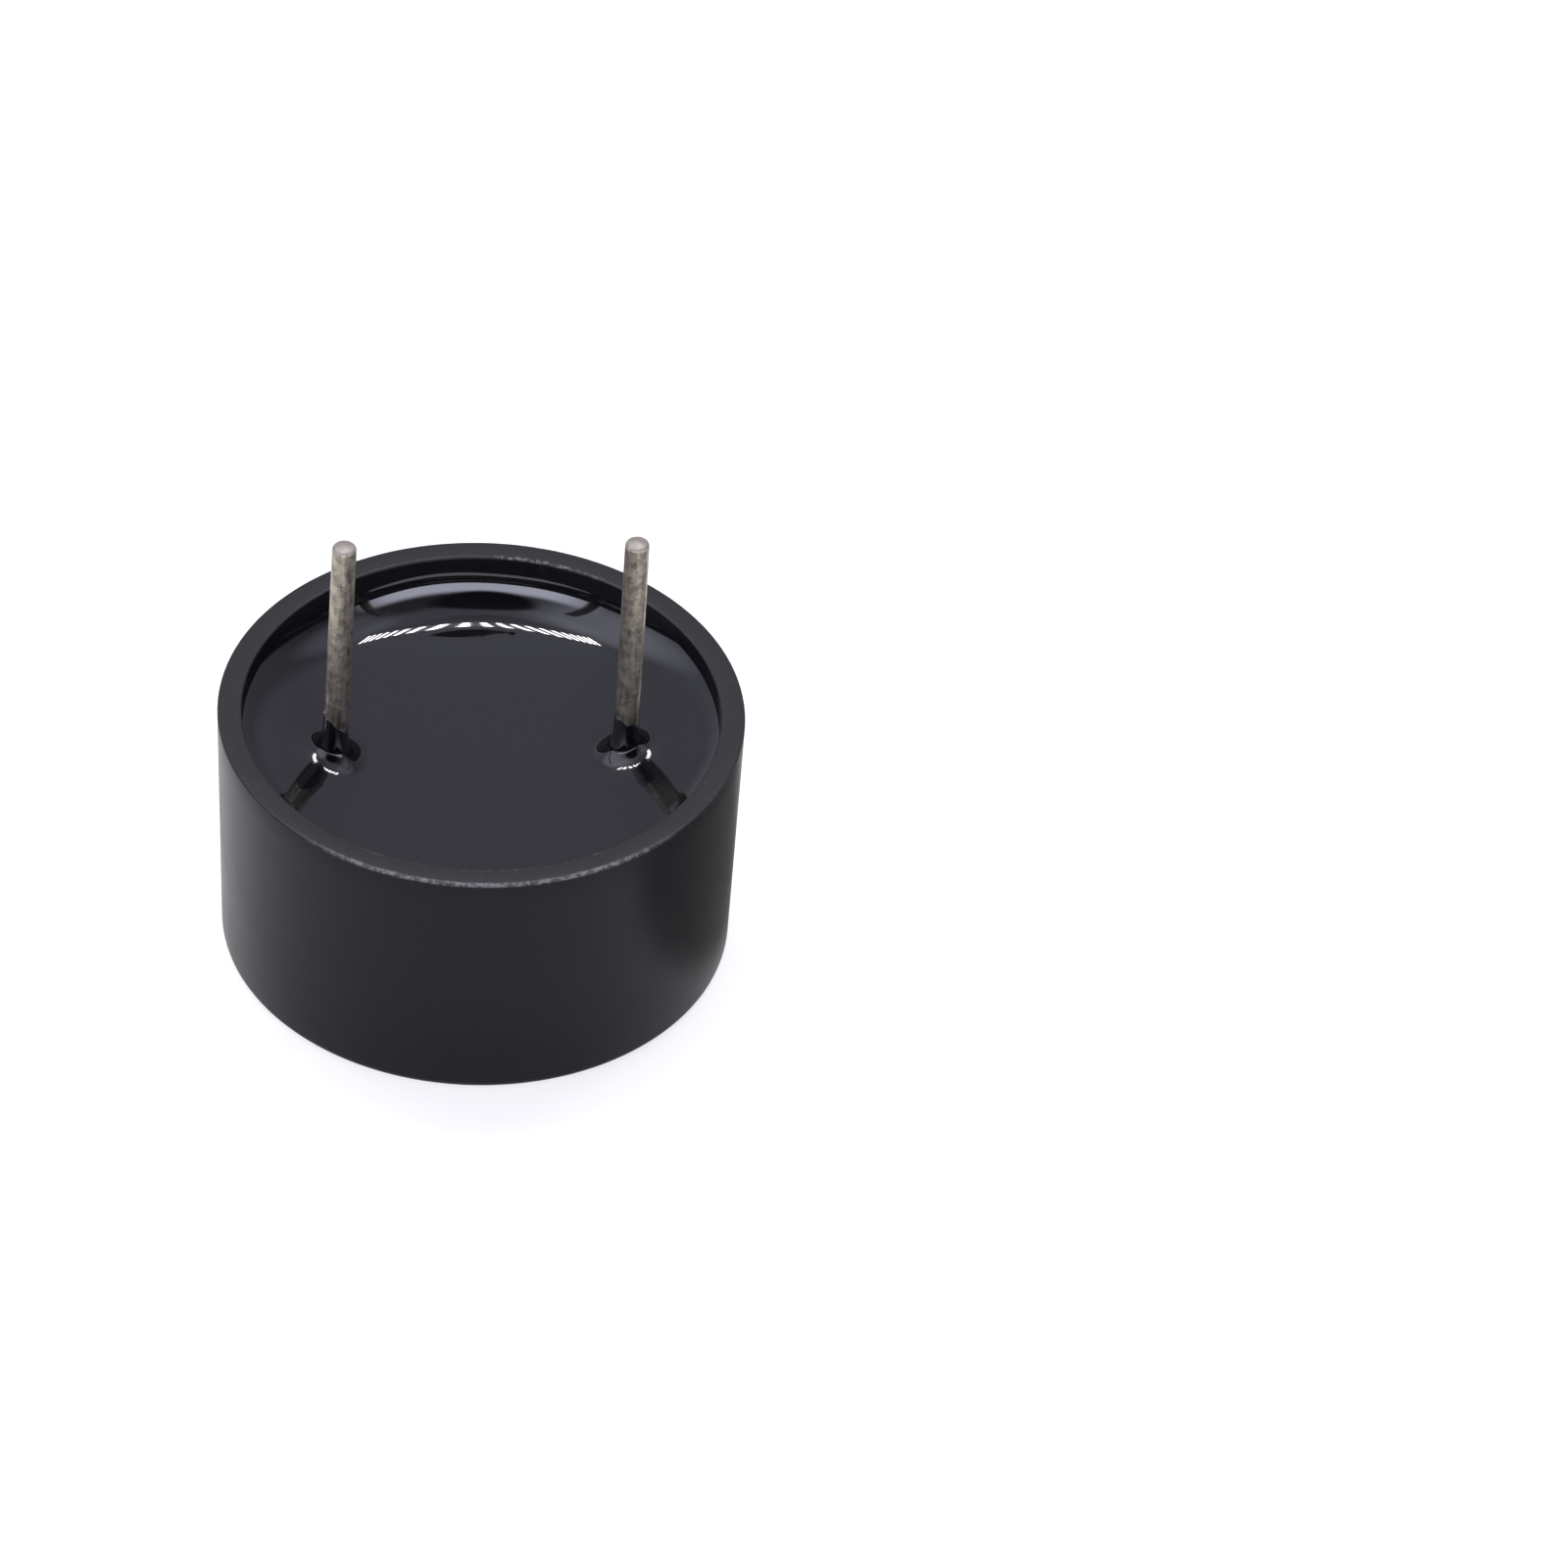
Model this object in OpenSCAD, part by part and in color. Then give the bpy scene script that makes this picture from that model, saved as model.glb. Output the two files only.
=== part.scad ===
// Passive buzzer: a sealed electromagnetic sounder with two round wire pins.
// It stands on its sound face, with the pins pointing up. Millimetres, +Z up,
// origin at the centre of the sound face. The positive pin is on +X.

/* [Housing] */
// Outer diameter at the open rim
rim_d = 11.8; // [11.4:0.1:14]
// Draft of the side wall, in degrees; the housing narrows towards the sound face
draft = 1.85; // [0.5:0.05:3]
// Height from the sound face to the rim
housing_h = 6.2; // [5.9:0.1:9]
// Thickness of the side wall
wall_t = 0.55; // [0.4:0.05:0.7]
// Thickness of the sound face
face_t = 0.8; // [0.6:0.05:1]
// Rounding of the outer edge of the sound face
edge_r = 0.2; // [0.1:0.05:0.35]
// Rounding of the rim's two edges
rim_edge_r = 0.06; // [0.03:0.01:0.12]
// Width of the ledge round the front chamber
ledge_w = 0.55; // [0.4:0.05:0.8]

/* [Sound port] */
// Diameter of the port in the sound face
port_d = 2.5; // [1.6:0.1:3]
// Break of the port's outer edge
port_edge = 0.06; // [0.03:0.01:0.12]

/* [Polarity mark] */
// Margin between the mark's ring and the rounded edge of the face
mark_margin = 0.27; // [0.1:0.01:0.5]
// Outer diameter of the mark's ring
mark_d = 2.85; // [2.6:0.05:3]
// Width of the ring
mark_ring_w = 0.32; // [0.2:0.02:0.4]
// Length of the cross's arms, end to end
cross_span = 1.85; // [1.4:0.05:1.9]
// Width of the cross's arms
cross_w = 0.34; // [0.2:0.02:0.44]
// Depth of the engraving
mark_depth = 0.12; // [0.06:0.02:0.2]

/* [Potting] */
// Depth of the level that the resin sinks to, away from the wall, below the rim
resin_drop = 1.5; // [1.3:0.02:1.6]
// Radius of the resin's flat middle
resin_flat_r = 1.2; // [0.8:0.1:2]
// Thickness of the resin over the terminal board
resin_t = 0.52; // [0.46:0.02:0.7]
// Radius of the concave rise against the wall
wall_rise_r = 0.75; // [0.6:0.01:0.9]
// Height that the long tail of that rise adds at the wall
wall_tail_h = 0.32; // [0.1:0.02:0.4]
// Length over which the tail fades
wall_tail_l = 0.9; // [0.5:0.05:1.2]
// Radius of the concave rise round each pin
pin_rise_r = 0.6; // [0.4:0.05:0.8]
// Slope of the resin where it meets the wall or a pin, in degrees
contact_slope = 80; // [60:1:84]

/* [Pins] */
// Distance between the pins
pin_pitch = 6.5; // [6:0.1:6.9]
// Diameter of the wire
pin_d = 0.55; // [0.5:0.05:0.65]
// Height of the pins above the rim
pin_reach = 4.9; // [3:0.1:8]
// Rounding of the pin's tip
pin_tip_r = 0.1; // [0.04:0.02:0.2]
// Diameter of the swaged collar pressed into the terminal board
collar_d = 1; // [0.95:0.05:1.1]
// Height of that collar over the resin's level, inside the skirt round the pin
collar_rise = 0.06; // [0.04:0.01:0.1]

/* [Terminal board] */
// Thickness of the board
board_t = 0.6; // [0.5:0.05:0.8]
// Diameter of a solder joint at the board
solder_d = 1.7; // [1.4:0.05:1.9]
// Height of a solder joint
solder_h = 0.34; // [0.2:0.02:0.36]
// Diameter of the holes that the coil's leads pass through
lead_hole_d = 0.4; // [0.3:0.05:0.5]
// Height of the leads over the board
lead_lift = 0.16; // [0.14:0.01:0.2]
// Angle of each lead hole from its pin, in degrees
lead_angle = 32; // [28:1:40]

/* [Magnetic drive] */
// Thickness of the yoke plate
yoke_t = 0.5; // [0.4:0.05:0.6]
// Share of the free height inside that the magnet takes; the front chamber has the rest
magnet_share = 0.54; // [0.45:0.01:0.6]
// Radial width of the ring magnet
magnet_w = 1.25; // [1:0.05:1.4]
// Diameter of the pole core
core_d = 2.2; // [1.8:0.1:2.6]
// Diameter of the core's riveted neck in the yoke
neck_d = 1.4; // [1:0.1:1.6]
// Distance that the winding stops short of the magnet's pole face
coil_recess = 0.26; // [0.2:0.02:0.4]
// Diameter of the enamelled wire
wire_d = 0.12; // [0.08:0.02:0.16]
// Insulation between the core and the winding
insulation_t = 0.05; // [0.03:0.01:0.1]
// Free space between the winding and the magnet
coil_gap = 0.3; // [0.25:0.05:0.5]
// Radial thickness of the support ring
support_t = 0.55; // [0.45:0.05:0.65]

/* [Diaphragm] */
// Thickness of the diaphragm
diaphragm_t = 0.08; // [0.05:0.01:0.12]
// Gap between the diaphragm and the magnet's poles
air_gap = 0.22; // [0.15:0.01:0.3]
// Diameter of the mass disc on the diaphragm
mass_d = 4.4; // [3.6:0.1:5]
// Thickness of the mass disc
mass_t = 0.25; // [0.15:0.01:0.3]

/* [Fits] */
// Radial clearance of the pieces that drop into one another
fit_gap = 0.05; // [0.03:0.01:0.07]
// Clearance between the diaphragm and the housing's ledge
ledge_gap = 0.05; // [0.03:0.01:0.08]

/* [Hidden] */
$fn = 96;
round_steps = 6;
rise_steps = 10;
tail_steps = 8;
cut_over = 0.5;
positive = 1;
negative = -1;

// Heights, stacked down from the rim; magnet and front chamber share what is left
rim_edge_z = housing_h - rim_edge_r;
resin_z = housing_h - resin_drop;
board_top_z = resin_z - resin_t;
board_z = board_top_z - board_t;
yoke_z = board_z - yoke_t;
free_h = yoke_z - air_gap - diaphragm_t - ledge_gap - face_t;
magnet_h = free_h * magnet_share;
coil_h = magnet_h - coil_recess;
magnet_z = yoke_z - magnet_h;
support_z = magnet_z - air_gap;
diaphragm_z = support_z - diaphragm_t;
mass_z = diaphragm_z - mass_t;
ledge_z = diaphragm_z - ledge_gap;
solder_top_z = board_top_z + solder_h;
pin_tip_z = housing_h + pin_reach;

// Radii, chained inwards from the housing's drafted wall
function outer_r(z) = rim_d / 2 - (housing_h - z) * tan(draft);
function bore_r(z) = outer_r(z) - wall_t;
mark_offset = outer_r(0) - edge_r - mark_margin - mark_d / 2;
chamber_r = bore_r(ledge_z) - ledge_w;
board_r = bore_r(board_z) - fit_gap;
support_r = bore_r(support_z) - fit_gap;
support_inner_r = support_r - support_t;
diaphragm_r = support_r - fit_gap;
yoke_r = support_inner_r - fit_gap;
magnet_r = yoke_r - fit_gap;
magnet_inner_r = magnet_r - magnet_w;
coil_r = magnet_inner_r - coil_gap;
coil_inner_r = core_d / 2 + insulation_t;
lead_r = coil_r + wire_d / 2;
lead_z = board_top_z + lead_lift;

// Colours
black_plastic = [0.1, 0.1, 0.11];
black_resin = [0.06, 0.06, 0.07];
tinned = [0.66, 0.65, 0.6];
solder_grey = [0.62, 0.63, 0.65];
board_green = [0.16, 0.36, 0.22];
bare_steel = [0.55, 0.55, 0.56];
enamel_copper = [0.72, 0.38, 0.17];
ferrite = [0.2, 0.2, 0.2];
natural_plastic = [0.82, 0.8, 0.74];
foil_steel = [0.7, 0.71, 0.72];
mass_tan = [0.87, 0.74, 0.58];

// Points of an arc about centre, from angle a0 to a1
function arc(centre, r, a0, a1, steps) = [
    for (i = [0:steps])
        let (a = a0 + (a1 - a0) * i / steps)
        centre + r * [cos(a), sin(a)]
];

// How far in from its upper end a concave rise of radius r has the slope a, and how high it is there
function rise_in(r, a) = r * (sin(contact_slope) - sin(a));
function rise_up(r, a) = r * (1 - cos(a));

// Height of the wall rise's tail at a distance s from the wall
function tail(s) = wall_tail_h * exp(-s / wall_tail_l);

// Resin's surface from the axis out and up to the wall, whose draft sets where it stops
contact_z = resin_z + rise_up(wall_rise_r, contact_slope) + wall_tail_h;
contact_r = bore_r(contact_z);
tail_start = rise_in(wall_rise_r, 0);
tail_end = contact_r - resin_flat_r;
pool_surface = concat(
    [[0, resin_z + tail(tail_end)]],
    [for (i = [tail_steps:-1:1])
        let (s = tail_start + (tail_end - tail_start) * i / tail_steps)
        [contact_r - s, resin_z + tail(s)]],
    [for (i = [0:rise_steps])
        let (a = contact_slope * i / rise_steps, s = rise_in(wall_rise_r, a))
        [contact_r - s, resin_z + rise_up(wall_rise_r, a) + tail(s)]]
);

// Skirt's surface from its foot up to the pin, on the pool's level at the pin
pin_level_z = resin_z + tail(contact_r - pin_pitch / 2);
collar_top_z = pin_level_z + collar_rise;
skirt_surface = [
    for (i = [0:rise_steps])
        let (a = contact_slope * i / rise_steps)
        [pin_d / 2 + rise_in(pin_rise_r, a), pin_level_z + rise_up(pin_rise_r, a)]
];

module at_pin(side) {
    translate([side * pin_pitch / 2, 0, 0]) children();
}

// A straight round wire between two points
module wire(from, to, d) {
    run = to - from;
    translate(from)
        rotate([0, acos(run.z / norm(run)), atan2(run.y, run.x)])
            cylinder(d = d, h = norm(run));
}

module housing_skin() {
    rotate_extrude()
        polygon(concat(
            [[0, 0]],
            arc([outer_r(edge_r) - edge_r, edge_r], edge_r, -90, 0, round_steps),
            arc([outer_r(rim_edge_z) - rim_edge_r, rim_edge_z], rim_edge_r, 0, 90, round_steps),
            [[0, housing_h]]
        ));
}

// Stepped cavity: front chamber, ledge, drafted bore and the rounded inner edge of the rim
module housing_cavity() {
    inner_edge_r = bore_r(rim_edge_z) + rim_edge_r;
    rotate_extrude()
        polygon(concat(
            [[0, face_t], [chamber_r, face_t], [chamber_r, ledge_z], [bore_r(ledge_z), ledge_z]],
            arc([inner_edge_r, rim_edge_z], rim_edge_r, 180, 90, round_steps),
            [[inner_edge_r, housing_h + cut_over], [0, housing_h + cut_over]]
        ));
}

module sound_port() {
    translate([0, 0, -cut_over])
        cylinder(d = port_d, h = face_t + 2 * cut_over);
    translate([0, 0, -port_edge])
        cylinder(d1 = port_d + 4 * port_edge, d2 = port_d, h = 2 * port_edge);
}

// One arm of the cross, with round ends
module cross_arm() {
    reach = (cross_span - cross_w) / 2;
    square([2 * reach, cross_w], center = true);
    for (end = [-1, 1])
        translate([end * reach, 0]) circle(d = cross_w);
}

module polarity_mark() {
    translate([mark_offset, 0, -cut_over])
        linear_extrude(mark_depth + cut_over) {
            difference() {
                circle(d = mark_d);
                circle(d = mark_d - 2 * mark_ring_w);
            }
            for (turn = [0, 90])
                rotate(turn) cross_arm();
        }
}

module housing() {
    color(black_plastic)
        difference() {
            housing_skin();
            housing_cavity();
            sound_port();
            polarity_mark();
        }
}

// Resin pool that fills the bore over the board, without the pins' skirts
module resin_pool() {
    rotate_extrude()
        polygon(concat(
            [[bore_r(board_top_z), board_top_z], [0, board_top_z]],
            pool_surface
        ));
}

// Skirt that the resin draws up round a pin
module resin_skirt() {
    rotate_extrude()
        polygon(concat(
            [[0, board_top_z], [skirt_surface[0].x, board_top_z]],
            skirt_surface,
            [[0, skirt_surface[rise_steps].y]]
        ));
}

module potting_resin() {
    color(black_resin)
        difference() {
            union() {
                resin_pool();
                for (side = [positive, negative])
                    at_pin(side) resin_skirt();
            }
            for (side = [positive, negative]) {
                pin_shape(side);
                solder_shape(side);
                lead_shape(side);
            }
        }
}

// Round wire with a swaged collar in the board and a rounded tip
module pin_shape(side) {
    wire_r = pin_d / 2;
    at_pin(side)
        rotate_extrude()
            polygon(concat(
                [[0, board_z], [collar_d / 2, board_z], [collar_d / 2, collar_top_z], [wire_r, collar_top_z]],
                arc([wire_r - pin_tip_r, pin_tip_z - pin_tip_r], pin_tip_r, 0, 90, round_steps),
                [[0, pin_tip_z]]
            ));
}

module pin(side) {
    color(tinned) pin_shape(side);
}

// Concave cone of solder from the board up the side of the collar
module solder_shape(side) {
    foot = solder_d / 2 - collar_d / 2;
    at_pin(side)
        rotate_extrude()
            polygon(concat(
                [[0, board_top_z]],
                [for (i = [0:round_steps])
                    let (a = 90 * i / round_steps)
                    [collar_d / 2 + foot * (1 - sin(a)), board_top_z + solder_h * (1 - cos(a))]],
                [[0, solder_top_z]]
            ));
}

module solder(side) {
    color(solder_grey)
        difference() {
            solder_shape(side);
            pin_shape(side);
            lead_shape(side);
        }
}

// Where a lead climbs past the coil, at height z
function lead_place(side, z) = [
    side * lead_r * cos(lead_angle), side * lead_r * sin(lead_angle), z
];

// Lead from the winding, up through yoke and board, and across to its pin
module lead_shape(side) {
    bottom = lead_place(side, yoke_z - coil_h / 2);
    bend = lead_place(side, lead_z);
    target = [side * pin_pitch / 2, 0, lead_z];
    run = target - bend;
    end = target - run / norm(run) * (collar_d / 2);
    wire(bottom, bend, wire_d);
    translate(bend) sphere(d = wire_d);
    wire(bend, end, wire_d);
}

module coil_lead(side) {
    color(enamel_copper)
        difference() {
            lead_shape(side);
            pin_shape(side);
        }
}

// The two holes that let the leads through a plate
module lead_holes(z, t) {
    for (side = [positive, negative])
        translate(lead_place(side, z - cut_over))
            cylinder(d = lead_hole_d, h = t + 2 * cut_over);
}

module terminal_board() {
    color(board_green)
        difference() {
            translate([0, 0, board_z]) cylinder(r = board_r, h = board_t);
            for (side = [positive, negative])
                at_pin(side)
                    translate([0, 0, board_z - cut_over])
                        cylinder(d = collar_d, h = board_t + 2 * cut_over);
            lead_holes(board_z, board_t);
        }
}

module yoke_plate() {
    color(bare_steel)
        difference() {
            translate([0, 0, yoke_z]) cylinder(r = yoke_r, h = yoke_t);
            translate([0, 0, yoke_z - cut_over])
                cylinder(d = neck_d, h = yoke_t + 2 * cut_over);
            lead_holes(yoke_z, yoke_t);
        }
}

// Turned pole with a shoulder under the yoke and a neck riveted through it
module pole_core() {
    color(bare_steel)
        rotate_extrude()
            polygon([
                [0, magnet_z], [core_d / 2, magnet_z], [core_d / 2, yoke_z],
                [neck_d / 2, yoke_z], [neck_d / 2, board_z], [0, board_z]
            ]);
}

// Ring of wire whose outer layer shows its turns
module coil_winding() {
    turns = floor(coil_h / wire_d);
    pitch = coil_h / turns;
    layer_r = coil_r - wire_d / 2;
    color(enamel_copper)
        rotate_extrude()
            polygon(concat(
                [[coil_inner_r, yoke_z], [coil_inner_r, yoke_z - coil_h]],
                [for (i = [turns - 1:-1:0], j = [0:round_steps])
                    let (a = -90 + 180 * j / round_steps)
                    if (j > 0 || i == turns - 1)
                        [layer_r + wire_d / 2 * cos(a), yoke_z - pitch * (i + 0.5) + pitch / 2 * sin(a)]]
            ));
}

module ring_magnet() {
    color(ferrite)
        rotate_extrude()
            translate([magnet_inner_r, magnet_z]) square([magnet_w, magnet_h]);
}

// Moulded ring that carries the diaphragm and locates the yoke and magnet
module support_ring() {
    color(natural_plastic)
        rotate_extrude()
            translate([support_inner_r, support_z]) square([support_t, board_z - support_z]);
}

module diaphragm() {
    color(foil_steel)
        translate([0, 0, diaphragm_z]) cylinder(r = diaphragm_r, h = diaphragm_t);
}

module mass_disc() {
    color(mass_tan)
        translate([0, 0, mass_z]) cylinder(d = mass_d, h = mass_t);
}

housing();
potting_resin();
pin(positive);  // pin_positive
pin(negative);  // pin_negative
solder(positive);  // solder_positive
solder(negative);  // solder_negative
terminal_board();
coil_lead(positive);  // coil_lead_positive
coil_lead(negative);  // coil_lead_negative
yoke_plate();
pole_core();
coil_winding();
ring_magnet();
support_ring();
diaphragm();
mass_disc();
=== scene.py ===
"""Dressed visual model of a passive buzzer: moulded housing, poured resin and two tinned wire pins."""

import logging
import math
from dataclasses import dataclass, field
from enum import Enum
from typing import Any

import bpy
import numpy as np
from mathutils import Matrix, Vector


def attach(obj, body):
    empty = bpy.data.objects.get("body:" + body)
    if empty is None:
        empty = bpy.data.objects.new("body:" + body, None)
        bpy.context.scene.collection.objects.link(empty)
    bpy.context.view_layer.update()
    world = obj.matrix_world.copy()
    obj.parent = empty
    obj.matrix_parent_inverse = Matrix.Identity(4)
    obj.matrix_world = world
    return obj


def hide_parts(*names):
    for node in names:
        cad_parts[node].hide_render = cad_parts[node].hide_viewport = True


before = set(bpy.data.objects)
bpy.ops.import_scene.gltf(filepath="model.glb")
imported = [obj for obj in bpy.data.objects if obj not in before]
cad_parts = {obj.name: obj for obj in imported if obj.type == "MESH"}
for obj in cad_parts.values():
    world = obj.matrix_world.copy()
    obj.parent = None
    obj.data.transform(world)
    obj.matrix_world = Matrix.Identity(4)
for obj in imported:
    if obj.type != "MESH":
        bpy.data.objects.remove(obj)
LOG = logging.getLogger("buzzer")
MM = 0.001
PHOTO_PX = 1600
TURN = 2.0 * math.pi

Colour = tuple[float, float, float]
BLACK: Colour = (0.0, 0.0, 0.0)
WHITE: Colour = (1.0, 1.0, 1.0)


class Node(str, Enum):
    """Names of the CAD nodes that this script dresses or replaces."""

    HOUSING = "housing"
    RESIN = "potting_resin"
    PIN_POSITIVE = "pin_positive"
    PIN_NEGATIVE = "pin_negative"
    SOLDER_POSITIVE = "solder_positive"
    SOLDER_NEGATIVE = "solder_negative"
    BOARD = "terminal_board"
    LEAD_POSITIVE = "coil_lead_positive"
    LEAD_NEGATIVE = "coil_lead_negative"
    YOKE = "yoke_plate"
    CORE = "pole_core"
    COIL = "coil_winding"
    MAGNET = "ring_magnet"
    SUPPORT = "support_ring"
    DIAPHRAGM = "diaphragm"
    MASS = "mass_disc"


class Slot(str, Enum):
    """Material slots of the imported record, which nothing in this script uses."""

    HOUSING = "housing_plastic"
    RESIN = "potting_epoxy"
    WIRE = "tinned_wire"


class Side(Enum):
    """The two sides of the buzzer along X, as a sign."""

    POSITIVE = 1
    NEGATIVE = -1


# Shader graph


class Flow:
    """A shader value that builds Math nodes when it is used in an expression."""

    def __init__(self, graph: "Graph", socket: bpy.types.NodeSocket) -> None:
        """Keep the graph and the output socket that carries the value."""
        self.graph = graph
        self.socket = socket

    def _math(self, operation: str, first: Any, second: Any) -> "Flow":
        """Add one Math node.

        Args:
            operation: Name of the Math node's operation.
            first: First operand, a number or a Flow.
            second: Second operand, a number or a Flow.

        Returns:
            The node's result.
        """
        return self.graph.node("ShaderNodeMath", {"operation": operation}, {0: first, 1: second})

    def __add__(self, other: Any) -> "Flow":
        """Sum."""
        return self._math("ADD", self, other)

    __radd__ = __add__

    def __sub__(self, other: Any) -> "Flow":
        """Difference."""
        return self._math("SUBTRACT", self, other)

    def __rsub__(self, other: Any) -> "Flow":
        """Reflected difference."""
        return self._math("SUBTRACT", other, self)

    def __mul__(self, other: Any) -> "Flow":
        """Product."""
        return self._math("MULTIPLY", self, other)

    __rmul__ = __mul__

    def __pow__(self, other: Any) -> "Flow":
        """Power."""
        return self._math("POWER", self, other)

    def step(self, low: float, high: float) -> "Flow":
        """Smooth step of the value, 0 at low and 1 at high.

        Args:
            low: Value at which the step starts.
            high: Value at which it ends; below low, the step falls.

        Returns:
            The stepped value, from 0 to 1.
        """
        settings = {"interpolation_type": "SMOOTHSTEP"}
        if low <= high:
            return self.graph.node("ShaderNodeMapRange", settings, {0: self, 1: low, 2: high})
        return 1.0 - self.graph.node("ShaderNodeMapRange", settings, {0: self, 1: high, 2: low})


class Graph:
    """Node tree of one material or of the world, filled from Python expressions."""

    def __init__(self, tree: bpy.types.NodeTree) -> None:
        """Take over a node tree and empty it."""
        self.tree = tree
        tree.nodes.clear()

    def make(self, kind: str, settings: dict[str, Any], inputs: dict[Any, Any]) -> bpy.types.Node:
        """Add a node, set it up, then fill its sockets.

        Args:
            kind: Blender's name for the node's type.
            settings: Properties to set first.
            inputs: Values, Flows or sockets by input name or number.

        Returns:
            The new node.
        """
        node = self.tree.nodes.new(kind)
        for name, value in settings.items():
            setattr(node, name, value)
        for key, value in inputs.items():
            self._feed(node.inputs[key], value)
        return node

    def node(self, kind: str, settings: dict[str, Any], inputs: dict[Any, Any], output: Any = 0) -> Flow:
        """Add a node and return one of its outputs as a Flow."""
        return Flow(self, self.make(kind, settings, inputs).outputs[output])

    def _feed(self, socket: bpy.types.NodeSocket, value: Any) -> None:
        """Link a Flow or socket to an input, or set its plain value."""
        if isinstance(value, Flow):
            self.tree.links.new(value.socket, socket)
        elif isinstance(value, bpy.types.NodeSocket):
            self.tree.links.new(value, socket)
        elif socket.type == "RGBA" and len(value) == 3:
            socket.default_value = (*value, 1.0)
        else:
            socket.default_value = value

    def place(self) -> bpy.types.NodeSocket:
        """Return the surface's Object coordinates."""
        return self.make("ShaderNodeTexCoord", {}, {}).outputs["Object"]

    def axes(self, vector: Any) -> tuple[Flow, Flow, Flow]:
        """Split a vector into its three values."""
        split = self.make("ShaderNodeSeparateXYZ", {}, {0: vector})
        return Flow(self, split.outputs[0]), Flow(self, split.outputs[1]), Flow(self, split.outputs[2])

    def noise(self, vector: Any, size_mm: float, detail: float = 2.0, rough: float = 0.5) -> Flow:
        """Cloudy noise whose blobs are about size_mm across.

        Args:
            vector: Coordinates in metres.
            size_mm: Size of the blobs in millimetres.
            detail: Octaves of finer noise.
            rough: Strength of the finer octaves.

        Returns:
            Noise about 0.5, from 0 to 1.
        """
        inputs = {"Vector": vector, "Scale": 1.0 / (size_mm * MM), "Detail": detail, "Roughness": rough}
        return self.node("ShaderNodeTexNoise", {}, inputs, "Fac")

    def stretched(self, vector: Any, scale: tuple[float, float, float]) -> bpy.types.NodeSocket:
        """Scale coordinates along each axis."""
        return self.make("ShaderNodeMapping", {}, {"Vector": vector, "Scale": scale}).outputs[0]

    def blend(self, factor: Any, low: Any, high: Any) -> bpy.types.NodeSocket:
        """Mix two colours.

        Args:
            factor: 0 for low, 1 for high.
            low: First colour, or a socket.
            high: Second colour, or a socket.

        Returns:
            The mixed colour's socket.
        """
        node = self.tree.nodes.new("ShaderNodeMix")
        node.data_type = "RGBA"
        self._feed(node.inputs[0], factor)
        self._feed(node.inputs[6], low)
        self._feed(node.inputs[7], high)
        return node.outputs[2]

    def looks(self) -> tuple[Flow, Flow]:
        """Tell which rays carry what the camera sees.

        Returns:
            1 for rays seen directly, mirrored or through something, and 1 for mirrored rays alone.
        """
        path = self.make("ShaderNodeLightPath", {}, {})
        direct = Flow(self, path.outputs["Is Camera Ray"])
        mirrored = Flow(self, path.outputs["Is Glossy Ray"])
        through = Flow(self, path.outputs["Is Transmission Ray"])
        return (direct + mirrored + through).step(0.0, 1.0), mirrored

    def bump(self, height: Flow, depth_mm: float) -> Flow:
        """Bump normal from a height of 0 to 1 that stands for depth_mm."""
        inputs = {"Height": height, "Distance": depth_mm * MM, "Strength": 1.0}
        return self.node("ShaderNodeBump", {}, inputs, "Normal")

    def surface(self, inputs: dict[str, Any]) -> None:
        """Finish a material with one Principled shader."""
        shader = self.make("ShaderNodeBsdfPrincipled", {}, inputs)
        self.make("ShaderNodeOutputMaterial", {}, {"Surface": shader.outputs[0]})


def new_graph(name: str) -> tuple[bpy.types.Material, Graph]:
    """Make an empty node material.

    Args:
        name: Name of the material.

    Returns:
        The material and its graph.
    """
    material = bpy.data.materials.new(name)
    material.use_nodes = True
    return material, Graph(material.node_tree)


def dress(obj: bpy.types.Object, material: bpy.types.Material) -> None:
    """Give an object one material and nothing else."""
    obj.data.materials.clear()
    obj.data.materials.append(material)


# Finishes


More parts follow.
